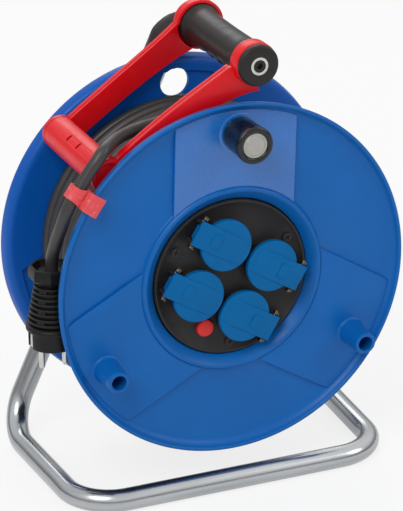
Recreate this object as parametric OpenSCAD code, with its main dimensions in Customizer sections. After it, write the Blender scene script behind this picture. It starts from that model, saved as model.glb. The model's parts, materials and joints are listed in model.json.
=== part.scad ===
// Extension cord reel: a two-flange drum of rubber cable on a bent tube stand,
// with a carrying handle, a crank knob and four covered sockets. Millimetres.
// Z is up, the drum turns about Y, the socket side faces -Y.

/* [View] */
// Which piece to draw ("all" draws every piece)

/* [Drum] */
// Outside radius of both flanges
flange_r = 145; // [144:0.5:146]
// Outside width over both flange rims
drum_w = 136; // [134:1:138]
// Depth of each dished rim
rim_depth = 8; // [7:0.5:9]
// Wall thickness of the flange discs
disc_t = 3; // [2.5:0.1:3.2]
// Outside radius of the barrel the cable is wound on
barrel_r = 68; // [67:0.5:70]
// Outside radius of the wound cable
coil_r = 115; // [90:1:116]
// Angle the flange pattern is turned by
pattern_turn = -1.3; // [-3:0.1:3]
// Width of the raised flange panels
panel_w = 101; // [90:1:104]
// Height of the raised flange panels
panel_h = 3; // [2:0.5:3]
// How far the posts' axes stand inside the rim
post_inset = 24; // [23:0.5:26]
// Outside radius of a post at its tip
post_r = 8.8; // [8:0.1:10]
// Radius of the hole down a post
post_bore_r = 6; // [4:0.5:6.5]
// How far the posts stand out in front of the rim
post_out = 22; // [18:0.5:23]
// Radius of the holes in the rear flange
rear_hole_r = 12.3; // [9:0.1:13]

/* [Sockets] */
// Radial step from the barrel wall in to the black socket panel
panel_step = 4; // [3.75:0.25:5]
// Distance of each socket from the drum axis
socket_ring_r = 32; // [31.5:0.5:33]
// Angle of the first socket round the drum axis
socket_turn = 14.1; // [10:0.1:20]
// Radius of a lid
lid_r = 21; // [20.8:0.1:21.5]
// Radius inside a socket well
well_r = 18.7; // [18:0.1:18.8]
// Depth of a socket well
well_d = 17.5; // [16:0.5:18]

/* [Stand] */
// Gap between the drum rim and the floor
floor_gap = 32.5; // [29:0.5:37]
// Outside radius of the stand tube
tube_r = 9; // [8.5:0.1:9]
// Wall of the stand tube
tube_wall = 1.5; // [1:0.1:2]
// Half width of the stand at its front corners
foot_x = 130; // [126:1:134]
// Half width of the stand at its rear corners
heel_x = 138; // [136:1:140]
// Bend radius of the front corners
front_bend = 38; // [30:1:42]
// Bend radius of the rear corners
rear_bend = 34; // [28:1:36]
// Radius of the drum axle
axle_r = 10; // [9:0.5:11]

/* [Handle] */
// Grip axis to the right of the drum axis
grip_x = 19.6; // [18:0.2:21]
// Height of the grip axis above the drum rim
grip_rise = 27; // [25:0.5:29]
// Radius of the arm heads
head_r = 17; // [16.5:0.1:17.5]
// Radius of the grip
grip_r = 15.3; // [14:0.1:16]
// Thickness of each arm
arm_t = 8; // [6:0.5:8]

/* [Cable] */
// Cable radius
cord_r = 5; // [4.5:0.1:5]
// Radius of the crank knob
knob_r = 14.8; // [13:0.1:15]
// How far the crank knob stands out in front of the rim
knob_out = 26; // [24:0.5:26]
// Turns of cable side by side on the drum
coil_turns = 11; // [8:1:12]

/* [Hidden] */
$fn = 48;
y_mid = (drum_w + 31 - knob_out) / 2;
hub_z = flange_r + floor_gap;
grip_z = flange_r + grip_rise;
panel_r = barrel_r - panel_step;
screw_r = barrel_r - 13.6;
back_y = drum_w;
disc_y = rim_depth + disc_t;
foot_z = tube_r - hub_z;
stand_y = drum_w + 16;
front_y = -4.5;
lean = 0.4557;
lean_l = sqrt(1 + lean * lean);
up_l = [lean / lean_l, 0, 1 / lean_l];
up_r = [-lean / lean_l, 0, 1 / lean_l];
heel_l = [-heel_x, stand_y, foot_z];
heel_r = [heel_x, stand_y, foot_z];
top_z = grip_z - 16;
top_l = heel_l + up_l * (top_z - foot_z) * lean_l;
end_r = heel_r + up_r * (60 - foot_z) * lean_l;
hub_x = heel_x - lean * (hub_z - tube_r);
crank_a = 87.8;
post_ring_r = flange_r - post_inset;
crank_r = flange_r - 25.5;
crank_x = crank_r * cos(crank_a);
crank_z = crank_r * sin(crank_a);
panel_y = 9.5;
lid_y = -1.6;
hinge_x = 26;
hinge_y = 4.2;
pin_r = 1;
clip_a = 145.1;
clip_r = flange_r + 9;
plug_x = -139;
plug_y = 33;
arm_run = 117.6;
arm_fall = 75.5;
arm_waist = 8.9;
arm_end = [-arm_run, -arm_fall - 4];
guide_x = grip_x - arm_run;
guide_z = grip_z - arm_fall;
guide_r = 14;

// Moves a piece from the drum-axis frame to the frame on the floor.
module place() {
  translate([0, -y_mid, hub_z]) children();
}
// A cylinder along Y from y0 to y1.
module cyl_y(x, z, y0, y1, r) {
  translate([x, y0, z]) rotate([-90, 0, 0]) cylinder(h = y1 - y0, r = r);
}
// A cone along Y from y0 to y1.
module cone_y(x, z, y0, y1, r0, r1) {
  translate([x, y0, z]) rotate([-90, 0, 0]) cylinder(h = y1 - y0, r1 = r0, r2 = r1);
}
// A solid turned about the Y axis at x, z: outline points are [radius, y].
module turn_y(x, z, pts) {
  translate([x, 0, z]) rotate([-90, 0, 0]) rotate_extrude($fn = 96) polygon(pts);
}
// A flat shape drawn in x and z, thickened from y0 to y1.
module slab(y0, y1) {
  translate([0, y1, 0]) rotate([90, 0, 0]) linear_extrude(height = y1 - y0) children();
}
// Turns a piece about the Y axis so that its +X points at angle a.
module spin(a) {
  rotate([0, -a, 0]) children();
}
function unit(v) = v / norm(v);
// A straight rod from a to b.
module rod(a, b, r) {
  w = unit(b - a);
  u = abs(w[1]) > 0.9 ? unit(cross([1, 0, 0], w)) : unit(cross([0, 1, 0], w));
  v = cross(w, u);
  multmatrix([[u[0], v[0], w[0], a[0]], [u[1], v[1], w[1], a[1]], [u[2], v[2], w[2], a[2]], [0, 0, 0, 1]])
    cylinder(h = norm(b - a), r = r);
}
function bend_angle(p, c, q) = acos(unit(c - p) * unit(q - c));
function bend_cut(p, c, q, br) = br * tan(bend_angle(p, c, q) / 2);
function bend_in(p, c, q, br) = c - unit(c - p) * bend_cut(p, c, q, br);
function bend_out(p, c, q, br) = c + unit(q - c) * bend_cut(p, c, q, br);
// A hollow bend of radius br at corner c between points p and q.
module bend(p, c, q, br) {
  u = unit(c - p);
  v = unit(q - c);
  w = unit(v - u * (v * u));
  m = bend_in(p, c, q, br) + w * br;
  n = cross(-w, u);
  multmatrix([[-w[0], u[0], n[0], m[0]], [-w[1], u[1], n[1], m[1]], [-w[2], u[2], n[2], m[2]], [0, 0, 0, 1]])
    rotate_extrude(angle = bend_angle(p, c, q)) translate([br, 0]) difference() {
      circle(r = tube_r);
      circle(r = tube_r - tube_wall);
    }
}
// A hollow straight run from a to b.
module pipe(a, b) {
  w = unit(b - a);
  difference() {
    rod(a + w * 0.01, b - w * 0.01, tube_r);
    rod(a - w, b + w, tube_r - tube_wall);
  }
}
// A hair-thin weld ring round the joint between a bend and a straight run.
module weld(p, w) {
  difference() {
    rod(p - w * 0.5, p + w * 0.5, tube_r + 0.06);
    rod(p - w, p + w, tube_r - tube_wall - 0.1);
  }
}
// The bend at corner c with the weld rings at its two ends.
module corner(p, c, q, br) {
  bend(p, c, q, br);
  weld(bend_in(p, c, q, br), unit(c - p));
  weld(bend_out(p, c, q, br), unit(q - c));
}
// The whole bent run of the stand.
module stand_run() {
  fl = [-foot_x, front_y, foot_z];
  fr = [foot_x, front_y, foot_z];
  corner(heel_l, fl, fr, front_bend);
  corner(fl, fr, heel_r, front_bend);
  corner(top_l, heel_l, fl, rear_bend);
  corner(fr, heel_r, end_r, rear_bend);
  pipe(bend_out(heel_l, fl, fr, front_bend), bend_in(fl, fr, heel_r, front_bend));
  pipe(bend_out(top_l, heel_l, fl, rear_bend), bend_in(heel_l, fl, fr, front_bend));
  pipe(bend_out(fl, fr, heel_r, front_bend), bend_in(fr, heel_r, end_r, rear_bend));
  pipe(bend_in(top_l, heel_l, fl, rear_bend), top_l);
  pipe(bend_out(fr, heel_r, end_r, rear_bend), end_r);
}

module base_tube() {
  color([0.72, 0.73, 0.75]) place() difference() {
    stand_run();
    for (s = [-1, 1]) cyl_y(s * hub_x, 0, stand_y - 20, stand_y + 20, 3.2);
  }
}

module tube_cap() {
  color([0.1, 0.1, 0.1]) place() {
    rod(end_r - up_r * 14, end_r + up_r * 1, tube_r - tube_wall - 0.05);
    rod(end_r, end_r + up_r * 3, tube_r);
  }
}

// Plastic head over the long upright: takes the far end of the grip bolt.
module top_clamp() {
  s0 = top_l - up_l * 26;
  w = up_l;
  u = unit(cross([0, 1, 0], w));
  v = cross(w, u);
  color([0.12, 0.12, 0.12]) place() difference() {
    union() {
      multmatrix([[u[0], v[0], w[0], s0[0]], [u[1], v[1], w[1], s0[1]], [u[2], v[2], w[2], s0[2]], [0, 0, 0, 1]])
        rotate_extrude($fn = 64) polygon([[0, 0], [14.2, 0], [15, 0.8], [15, 21.5], [14.6, 24.5], [12.8, 29.5],
          [9.8, 35], [6.8, 39], [3.5, 41.6], [0, 42.5]]);
      cyl_y(grip_x, grip_z, 130, 142, 8.5);
      hull() {
        cyl_y(grip_x - 1, grip_z - 1, 137.5, 142, 7);
        cyl_y(top_l[0] + 2.1, grip_z - 12, 138, 158, 9);
      }
    }
    rod(s0 - up_l * 1, top_l + up_l * 0.3, tube_r + 0.05);
    cyl_y(grip_x, grip_z, 129, 141.3, 4.05);
  }
}

module hub_bracket() {
  color([0.7, 0.71, 0.73]) place() difference() {
    slab(stand_y - tube_r - 4, stand_y - tube_r) {
      square([2 * hub_x, 40], center = true);
      for (s = [-1, 1]) translate([s * hub_x, 0]) circle(r = 20);
    }
    for (s = [-1, 1]) cyl_y(s * hub_x, 0, 130, 150, 3.2);
    cyl_y(0, 0, 130, 150, axle_r - 2);
  }
}

module bracket_bolts() {
  color([0.62, 0.63, 0.65]) place() for (s = [-1, 1]) {
    cyl_y(s * hub_x, 0, stand_y - tube_r - 4.5, stand_y + tube_r + 5, 3);
    translate([s * hub_x, stand_y - tube_r - 7.6, 0]) rotate([-90, 0, 0]) cylinder(h = 3.6, r = 5.6, $fn = 6);
    translate([s * hub_x, stand_y + tube_r, 0]) rotate([-90, 0, 0]) cylinder(h = 4.4, r = 5.6, $fn = 6);
  }
}

module axle() {
  color([0.66, 0.67, 0.69]) place() turn_y(0, 0, [[0, 58], [axle_r - 1, 58], [axle_r, 59], [axle_r, 131.6],
    [20, 131.6], [20, stand_y - tube_r - 4], [axle_r - 2.05, stand_y - tube_r - 4],
    [axle_r - 2.05, stand_y - tube_r], [0, stand_y - tube_r]]);
}

module axle_ring() {
  color([0.6, 0.61, 0.63]) place() difference() {
    cyl_y(0, 0, 60, 65.4, 15);
    cyl_y(0, 0, 59, 66, axle_r + 0.03);
  }
}

// Middle line of an arm, measured from the grip axis: from its head to the elbow.
function arm_mid(t, head, bow) = head * (1 - t) * (1 - t) + bow * 2 * t * (1 - t) + arm_end * t * t;
function arm_way(t, head, bow) = unit((bow - head) * (1 - t) + (arm_end - bow) * t);
function arm_half(t) = arm_waist + (head_r - arm_waist) * 0.3 * pow(1 - t, 3);
function arm_edge(t, head, bow, s) = arm_mid(t, head, bow)
  + s * arm_half(t) * [arm_way(t, head, bow)[1], -arm_way(t, head, bow)[0]];
// One arm from the side: a blade that widens to its head, the head ring and the elbow.
module arm_shape(head, bow, ring) {
  translate([grip_x, grip_z]) {
    polygon(concat([for (i = [0:12]) arm_edge(i / 12, head, bow, 1)],
      [for (i = [12:-1:0]) arm_edge(i / 12, head, bow, -1)]));
    circle(r = ring);
  }
  translate([guide_x, guide_z]) circle(r = guide_r);
}
module front_shape() { arm_shape([0, -8.5], [-0.48 * arm_run, -29], head_r - 2); }
module rear_shape() { arm_shape([0, 0], [-0.48 * arm_run, -33], head_r + 3.2); }

module front_arm() {
  color([0.86, 0.08, 0.12]) place() difference() {
    union() {
      cyl_y(grip_x, grip_z, 6, 18, head_r);
      slab(14, 18) front_shape();
      difference() {
        slab(17.9, 14 + arm_t) front_shape();
        cyl_y(grip_x, grip_z, 18, 30, head_r + 0.6);
      }
    }
    cyl_y(grip_x, grip_z, 5, 30, 4.1);
  }
}

module rear_arm() {
  color([0.86, 0.08, 0.12]) place() difference() {
    union() {
      cyl_y(grip_x, grip_z, 118, 130, head_r);
      slab(118, 122) rear_shape();
      difference() {
        slab(122 - arm_t, 118.1) rear_shape();
        cyl_y(grip_x, grip_z, 110, 118, head_r + 0.6);
      }
    }
    cyl_y(grip_x, grip_z, 110, 131, 4.1);
  }
}

module cable_guide() {
  color([0.88, 0.12, 0.15]) place() difference() {
    slab(14 + arm_t, 122 - arm_t) translate([guide_x, guide_z]) intersection() {
      difference() {
        circle(r = guide_r, $fn = 96);
        circle(r = guide_r - 4, $fn = 96);
      }
      polygon([[0, 0], [11, 26], [-30, 26], [-30, -24], [-21, -24]]);
    }
    for (y = [57.5, 77]) translate([guide_x, y, guide_z]) spin(127.5) translate([guide_r - 7, 0, 0]) {
      translate([0, -1.6, -1.5]) cube([10, 3.2, 3]);
      for (s = [-1, 1]) translate([0, 0, s * 1.5]) rotate([0, 90, 0]) cylinder(h = 10, r = 1.6);
    }
  }
}

module grip() {
  color([0.14, 0.14, 0.14]) place() difference() {
    turn_y(grip_x, grip_z, [[0, 18], [15.6, 18], [16.1, 19], [16.1, 22], [grip_r, 28], [grip_r - 0.5, 55],
      [grip_r - 0.3, 85], [grip_r + 0.3, 104], [16.4, 110.5], [17.2, 112], [17.2, 117], [16.6, 118], [0, 118]]);
    cyl_y(grip_x, grip_z, 17, 119, 4.3);
  }
}

module end_cap() {
  color([0.12, 0.12, 0.12]) place() difference() {
    turn_y(grip_x, grip_z, [[0, 1], [14.4, 1], [15.6, 1.5], [16.3, 2.8], [16.3, 5.6], [15.9, 6], [0, 6]]);
    cyl_y(grip_x, grip_z, 0, 2.2, 7.2);
    cyl_y(grip_x, grip_z, 0, 7, 5);
  }
}

module cap_washer() {
  color([0.85, 0.86, 0.88]) place() difference() {
    cyl_y(grip_x, grip_z, 1, 2.2, 7);
    cyl_y(grip_x, grip_z, 0, 3, 5);
  }
}

module grip_bolt() {
  color([0.2, 0.2, 0.21]) place() difference() {
    union() {
      cyl_y(grip_x, grip_z, 1.4, 6, 4.7);
      cyl_y(grip_x, grip_z, 5.9, 141, 4);
    }
    translate([grip_x, 1, grip_z]) rotate([-90, 0, 0]) cylinder(h = 3, r = 2.6, $fn = 6);
  }
}

// Clip hooked over the front rim, holding the stowed end of the cable.
module cable_clip() {
  color([0.9, 0.2, 0.22]) place() difference() {
    spin(clip_a) union() {
      translate([clip_r, 10, -8.5]) cylinder(h = 17, r = 7.8);
      translate([flange_r + 0.8, -3.4, -8.5]) cube([3.4, 17.2, 17]);
      translate([flange_r - 8.8, -3.4, -8.5]) cube([10, 2.8, 17]);
      translate([flange_r - 8, 11.8, -8.5]) cube([9.2, 2, 17]);
    }
    spin(clip_a) translate([clip_r, 10, -9]) cylinder(h = 18, r = cord_r + 0.5);
  }
}

// Centre line of the loose end of the cable, from the coil to the plug.
TAIL = [[0, 69, 121], [-20, 63, 120], [-39, 58, 117.5], [-58, 51, 117.5], [-73, 42, 118], [-88, 28, 119.5],
  [-101, 14, 119], [-108.5, 10, 113], [-115.5, 10, 104], [-121.5, 10, 95], [-126.5, 10, 88], [-131, 10, 81],
  [-134.5, 11.5, 72.5], [-136.5, 16, 61], [-138.5, 24, 45], [-139, 31, 31], [-139, 33, 20], [-139, 33, 11]];
SUB = 3;
SIDES = 12;
function at(i) = TAIL[max(0, min(len(TAIL) - 1, i))];
function curve(i, t) = 0.5 * (2 * at(i) + (at(i + 1) - at(i - 1)) * t
  + (2 * at(i - 1) - 5 * at(i) + 4 * at(i + 1) - at(i + 2)) * t * t
  + (3 * at(i) - at(i - 1) - 3 * at(i + 1) + at(i + 2)) * t * t * t);
PATH = concat([for (i = [0:len(TAIL) - 2]) for (k = [0:SUB - 1]) curve(i, k / SUB)], [TAIL[len(TAIL) - 1]]);
function way(i) = unit(PATH[min(len(PATH) - 1, i + 1)] - PATH[max(0, i - 1)]);
function side(i) = unit(cross(way(i), [0.34, -0.87, 0.36]));

module tail_cord() {
  n = len(PATH);
  pts = [for (i = [0:n - 1]) for (k = [0:SIDES - 1])
    PATH[i] + cord_r * (cos(360 * k / SIDES) * side(i) + sin(360 * k / SIDES) * cross(way(i), side(i)))];
  walls = [for (i = [0:n - 2]) for (k = [0:SIDES - 1])
    [i * SIDES + k, (i + 1) * SIDES + k, (i + 1) * SIDES + (k + 1) % SIDES, i * SIDES + (k + 1) % SIDES]];
  color([0.11, 0.11, 0.11]) place()
    polyhedron(points = pts, faces = concat([[for (k = [0:SIDES - 1]) k]], walls,
      [[for (k = [SIDES - 1:-1:0]) (n - 1) * SIDES + k]]));
}

// Flexible top of the plug with its finger collar and anti-kink ribs.
module plug_boot() {
  ribs = [for (i = [0:7]) for (p = [[14.2 + i * 0.75, 9 - i * 4], [14.2 + i * 0.75, 6.6 - i * 4],
    [12.9 + i * 0.75, 6.3 - i * 4], [12.9 + i * 0.75, 5.3 - i * 4]]) p];
  color([0.13, 0.13, 0.13]) place() translate([plug_x, plug_y, 0]) difference() {
    rotate_extrude($fn = 64) polygon(concat([[0, 25], [13.6, 25], [17.2, 22.6], [18, 20], [18, 15], [16.4, 12.4],
      [13.6, 11.6], [12.6, 9.3]], ribs, [[20.4, -22.9], [20.4, -24], [0, -24]]));
    translate([0, 0, 10]) cylinder(h = 20, r = cord_r + 0.45);
  }
}

module plug_body() {
  color([0.13, 0.13, 0.13]) place() translate([plug_x, plug_y, 0]) difference() {
    rotate_extrude($fn = 64) polygon([[0, -42], [18.4, -42], [19, -41.4], [19.2, -28.4], [20.6, -28], [21, -27.4],
      [21, -25], [20.4, -24], [0, -24]]);
    for (s = [-1, 1]) translate([s * 19.6 - 3, -4.5, -43]) cube([6, 9, 14]);
    for (s = [-1, 1]) translate([s * 9.5, 0, -43]) cylinder(h = 10, r = 2.45);
  }
}

module plug_pins() {
  color([0.85, 0.85, 0.86]) place() translate([plug_x, plug_y, 0]) for (s = [-1, 1]) translate([s * 9.5, 0, 0])
    rotate_extrude($fn = 32) polygon([[0, -61], [1.2, -61], [2.4, -59.6], [2.4, -34], [0, -34]]);
}

module plug_earth() {
  color([0.8, 0.8, 0.82]) place() translate([plug_x, plug_y, 0]) for (s = [-1, 1])
    translate([s * 17.1 - 0.5, -3, -41]) cube([1, 6, 11.8]);
}

// Outline of the rolled rim, from its back round the lip to where the disc starts.
function rim_pts() = [[flange_r - 8.58, disc_y], [flange_r - 6.5, disc_y], [flange_r - 2.4, disc_y - 1.4],
  [flange_r, 1.2], [flange_r - 0.5, 0.3], [flange_r - 1.4, 0], [flange_r - 2.6, 0], [flange_r - 3.2, 0.4],
  [flange_r - 5.2, 4.4], [flange_r - 6.6, 6.4], [flange_r - 8.58, rim_depth - 0.3]];
// Outline of the flat disc, down to the collar round its middle.
function disc_pts() = [[flange_r - 8.6, disc_y], [flange_r - 8.6, rim_depth - 0.3], [flange_r - 10.6, rim_depth]];
// Outline of the collar's bead, from the disc inwards.
function bead_pts() = [[barrel_r + 9, rim_depth], [barrel_r + 8.4, 6], [barrel_r + 7.4, 4.3], [barrel_r + 6.2, 3.5],
  [barrel_r + 4.8, 3.5], [barrel_r + 3.8, 4.4]];
// A strip of a ring, drawn flat.
module ring_strip(w, inner, outer) {
  intersection() {
    difference() {
      circle(r = outer, $fn = 120);
      circle(r = inner, $fn = 96);
    }
    translate([0, -w / 2]) square([flange_r, w]);
  }
}
// The window behind a raised panel: the panel less its wall on every side.
module window_shape() {
  ring_strip(panel_w - 2 * disc_t, barrel_r + 8 + disc_t, flange_r - 9.6 - disc_t);
}

module front_flange() {
  color([0.1, 0.36, 0.66]) place() difference() {
    turn_y(0, 0, concat(disc_pts(), [[barrel_r + 9.02, rim_depth], [barrel_r + 9.02, disc_y]]));
    for (a = [90, 210, 330]) spin(a + pattern_turn) slab(rim_depth - 1, disc_y + 1) window_shape();
  }
}

module front_collar() {
  color([0.1, 0.36, 0.66]) place() turn_y(0, 0, concat([[barrel_r + 9, disc_y]], bead_pts(),
    [[barrel_r - 2.8, 10.2], [barrel_r - 2.8, disc_y]]));
}

// One raised panel of the front flange, seated over its window.
module panel_plate(a) {
  spin(a + pattern_turn) slab(rim_depth - panel_h, rim_depth - 0.02)
    ring_strip(panel_w, barrel_r + 9.05, flange_r - 10.8);
}
module panel_left() { color([0.1, 0.36, 0.66]) place() panel_plate(210); }
module panel_right() { color([0.1, 0.36, 0.66]) place() panel_plate(330); }
module panel_top() {
  color([0.1, 0.36, 0.66]) place() difference() {
    union() {
      panel_plate(90);
      spin(crank_a) cone_y(crank_r, 0, 3.9, 6, 16, 16.6);
    }
    spin(crank_a) cyl_y(crank_r, 0, 0, 12, 5);
  }
}

// The dished rear disc with its raised panels, drawn for the front side.
module rear_disc() {
  difference() {
    union() {
      turn_y(0, 0, concat(disc_pts(), bead_pts(), [[68, rim_depth], [16.05, rim_depth], [16.05, disc_y]]));
      for (a = [90, 210, 330]) spin(a + pattern_turn) slab(rim_depth - panel_h, rim_depth + 1)
        ring_strip(panel_w, barrel_r + 8, flange_r - 9.6);
    }
    for (a = [90, 210, 330]) spin(a + pattern_turn) slab(rim_depth, disc_y + 1) window_shape();
  }
}

module rear_flange() {
  color([0.1, 0.36, 0.66]) place() difference() {
    translate([0, back_y, 0]) mirror([0, 1, 0]) rear_disc();
    for (a = [90, 210, 330]) spin(a + pattern_turn + 0.5)
      cyl_y(post_ring_r + 1.5, 0, back_y - 20, back_y + 2, rear_hole_r);
    for (a = [28.7, 148.7, 268.7]) spin(a) cyl_y(screw_r, 0, 120, 140, 2.1);
  }
}

module front_rim() {
  color([0.1, 0.36, 0.66]) place() turn_y(0, 0, rim_pts());
}

module rear_rim() {
  color([0.1, 0.36, 0.66]) place() translate([0, back_y, 0]) mirror([0, 1, 0]) turn_y(0, 0, rim_pts());
}

// One hollow post on a raised panel of the front flange.
module post(a) {
  seat = rim_depth - panel_h - 0.02;
  color([0.1, 0.36, 0.66]) place() spin(a + pattern_turn) turn_y(post_ring_r, 0, [[post_bore_r, -post_out],
    [post_r - 0.7, -post_out], [post_r, 0.8 - post_out], [post_r + 1.4, seat - 1.6], [post_r + 2.4, seat - 1.2],
    [post_r + 3.5, seat], [0, seat], [0, seat - 3], [post_bore_r, seat - 3]]);
}
module post_left() { post(210); }
module post_right() { post(330); }

// The ring that ties the barrel to the bush in its middle.
module drum_web() {
  color([0.1, 0.36, 0.66]) place() turn_y(0, 0, [[16.05, 70], [barrel_r - 3.02, 70], [barrel_r - 3.02, 73], [16.05, 73]]);
}

module barrel() {
  color([0.1, 0.36, 0.66]) place() difference() {
    union() {
      difference() {
        cyl_y(0, 0, disc_y, back_y - disc_y, barrel_r);
        cyl_y(0, 0, disc_y - 1, back_y, barrel_r - 3);
      }
      for (a = [28.7, 148.7, 268.7]) spin(a) {
        for (y = [[13.1, 36], [102, back_y - disc_y]]) {
          cyl_y(screw_r, 0, y[0], y[1], 4.2);
          translate([screw_r + 2, y[0], -1.5]) cube([barrel_r - screw_r - 3, y[1] - y[0], 3]);
        }
      }
    }
    for (a = [28.7, 148.7, 268.7]) spin(a) {
      cyl_y(screw_r, 0, 12, 34, 1.6);
      cyl_y(screw_r, 0, 104, back_y, 1.6);
    }
  }
}

module hub_bush() {
  color([0.1, 0.1, 0.1]) place() difference() {
    cyl_y(0, 0, 66, 131, 16);
    cyl_y(0, 0, 65, 132, axle_r + 0.06);
  }
}

module flange_screws() {
  color([0.6, 0.6, 0.62]) place() for (a = [28.7, 148.7, 268.7]) spin(a) {
    cyl_y(screw_r, 0, 106, back_y - rim_depth + 0.2, 1.55);
    cyl_y(screw_r, 0, back_y - rim_depth, back_y - rim_depth + 2.2, 4);
  }
}

// Outline of one turn of cable in the top layer, from y0 on.
function turn_pts(y0, w) = [[coil_r - 4.6, y0], [coil_r - 1.6, y0 + w * 0.17], [coil_r, y0 + w * 0.4],
  [coil_r, y0 + w * 0.6], [coil_r - 1.6, y0 + w * 0.83]];

module cable_coil() {
  low = disc_y + 0.3;
  high = back_y - disc_y - 0.3;
  w = (high - low) / coil_turns;
  color([0.11, 0.11, 0.11]) place() turn_y(0, 0, concat([[barrel_r + 0.1, low]],
    [for (i = [0:coil_turns - 1]) for (p = turn_pts(low + i * w, w)) p],
    [[coil_r - 4.6, high], [barrel_r + 0.1, high]]));
}

function socket_a(k) = socket_turn + 90 * k;
function strap_a(k) = (k == 0 || k == 3) ? -30.9 : 149.1;

module socket_panel() {
  color([0.12, 0.12, 0.12]) place() difference() {
    union() {
      cyl_y(0, 0, panel_y, panel_y + 3.6, panel_r);
      turn_y(0, 0, [[panel_r - 2.8, panel_y + 0.1], [panel_r - 2.4, 8.7], [panel_r - 1.6, 8.4], [panel_r - 0.6, 8.4],
        [panel_r - 0.1, 8.8], [panel_r, panel_y + 0.1]]);
    }
    for (k = [0:3]) spin(socket_a(k)) {
      cyl_y(socket_ring_r, 0, 5, 20, well_r + 1);
    }
    for (a = [28.7, 148.7, 268.7]) spin(a) cyl_y(screw_r, 0, 5, 20, 2.1);
    cyl_y(-22.4, -38.9, 5, 20, 7.55);
  }
}

// Ears on the panel that carry the lid pins.
module hinge_ears() {
  color([0.12, 0.12, 0.12]) place() for (k = [0:3]) spin(socket_a(k)) translate([socket_ring_r, 0, 0])
    spin(strap_a(k) - socket_a(k)) difference() {
      for (s = [-1, 1]) translate([hinge_x - 2.4, hinge_y - 2.4, s * 8.2 - 1.2])
        cube([4.8, panel_y - hinge_y + 2.38, 2.4]);
      translate([hinge_x, hinge_y, -12]) cylinder(h = 24, r = pin_r + 0.02, $fn = 24);
    }
}

// One socket well: a cup with pin holes and a seat for the earth clips.
module socket_well(k) {
  color([0.1, 0.1, 0.1]) place() spin(socket_a(k)) difference() {
    union() {
      turn_y(socket_ring_r, 0, [[well_r, 1.6], [well_r + 0.9, 1.6], [well_r + 0.95, 1.7], [well_r + 0.95, 44],
        [0, 44], [0, 1.6 + well_d], [well_r, 1.6 + well_d]]);
    }
    for (s = [-1, 1]) translate([socket_ring_r, 0, 0]) spin(strap_a(k) - socket_a(k)) {
      cyl_y(0, s * 9.5, 1.6 + well_d - 1, 42, 2.75);
      translate([s * 18 - 2.5, 4, -2.6]) cube([5, 16, 5.2]);
    }
  }
}
module socket_well_1() { socket_well(1); }
module socket_well_2() { socket_well(0); }
module socket_well_3() { socket_well(2); }
module socket_well_4() { socket_well(3); }

module earth_clips() {
  color([0.75, 0.72, 0.55]) place() for (k = [0:3]) spin(socket_a(k)) translate([socket_ring_r, 0, 0])
    spin(strap_a(k) - socket_a(k)) for (s = [-1, 1])
      translate([s * 17.6 - 0.4, 4.2, -2.4]) cube([0.8, 15.6, 4.8]);
}

module hinge_pins() {
  color([0.8, 0.8, 0.82]) place() for (k = [0:3]) spin(socket_a(k)) translate([socket_ring_r, 0, 0])
    spin(strap_a(k) - socket_a(k)) translate([hinge_x, hinge_y, -10.2]) cylinder(h = 20.4, r = pin_r, $fn = 24);
}

module lid_springs() {
  color([0.78, 0.78, 0.8]) place() for (k = [0:3]) spin(socket_a(k)) translate([socket_ring_r, 0, 0])
    spin(strap_a(k) - socket_a(k)) for (s = [-1, 1]) for (j = [0, 1])
      translate([hinge_x, hinge_y, s * (6.5 - 0.15) + (j - 0.5) * 0.62]) rotate_extrude($fn = 24) translate([1.45, 0]) circle(r = 0.28, $fn = 10);
}

module panel_screws() {
  color([0.62, 0.62, 0.64]) place() for (a = [28.7, 148.7, 268.7]) spin(a) difference() {
    union() {
      cyl_y(screw_r, 0, 7.6, 9.5, 3.6);
      cyl_y(screw_r, 0, 9.4, 32, 1.55);
    }
    translate([screw_r - 0.5, 7, -2.2]) cube([1, 1.6, 4.4]);
    translate([screw_r - 2.2, 7, -0.5]) cube([4.4, 1.6, 1]);
  }
}

module crank_pin() {
  color([0.1, 0.36, 0.66]) place() difference() {
    union() {
      cyl_y(crank_x, crank_z, 7.1 - knob_out, 8.4, 4.95);
      cyl_y(crank_x, crank_z, 8, 10.6, 7);
    }
    cyl_y(crank_x, crank_z, 5 - knob_out, 0, 1.5);
  }
}

module crank_screw() {
  color([0.6, 0.6, 0.62]) place() {
    cyl_y(crank_x, crank_z, 7.1 - knob_out, -1, 1.45);
    cyl_y(crank_x, crank_z, 5.1 - knob_out, 7.1 - knob_out, 6.6);
  }
}

module crank_knob() {
  color([0.12, 0.12, 0.12]) place() difference() {
    turn_y(crank_x, crank_z, [[0, -knob_out], [knob_r - 2, -knob_out], [knob_r - 0.8, 0.4 - knob_out],
      [knob_r, 1.7 - knob_out], [knob_r, 5.5 - knob_out], [knob_r - 0.6, 13 - knob_out], [knob_r - 0.7, 2.2],
      [knob_r - 1.2, 3.2], [0, 3.2]]);
    cyl_y(crank_x, crank_z, -1.5 - knob_out, 1.2 - knob_out, 10);
    cyl_y(crank_x, crank_z, 7.4 - knob_out, 5, 5.02);
    cyl_y(crank_x, crank_z, 3.5 - knob_out, 7.4 - knob_out, 7.1);
  }
}

module knob_badge() {
  color([0.75, 0.73, 0.7]) place() cyl_y(crank_x, crank_z, 0.6 - knob_out, 1.2 - knob_out, 9.9);
}

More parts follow.
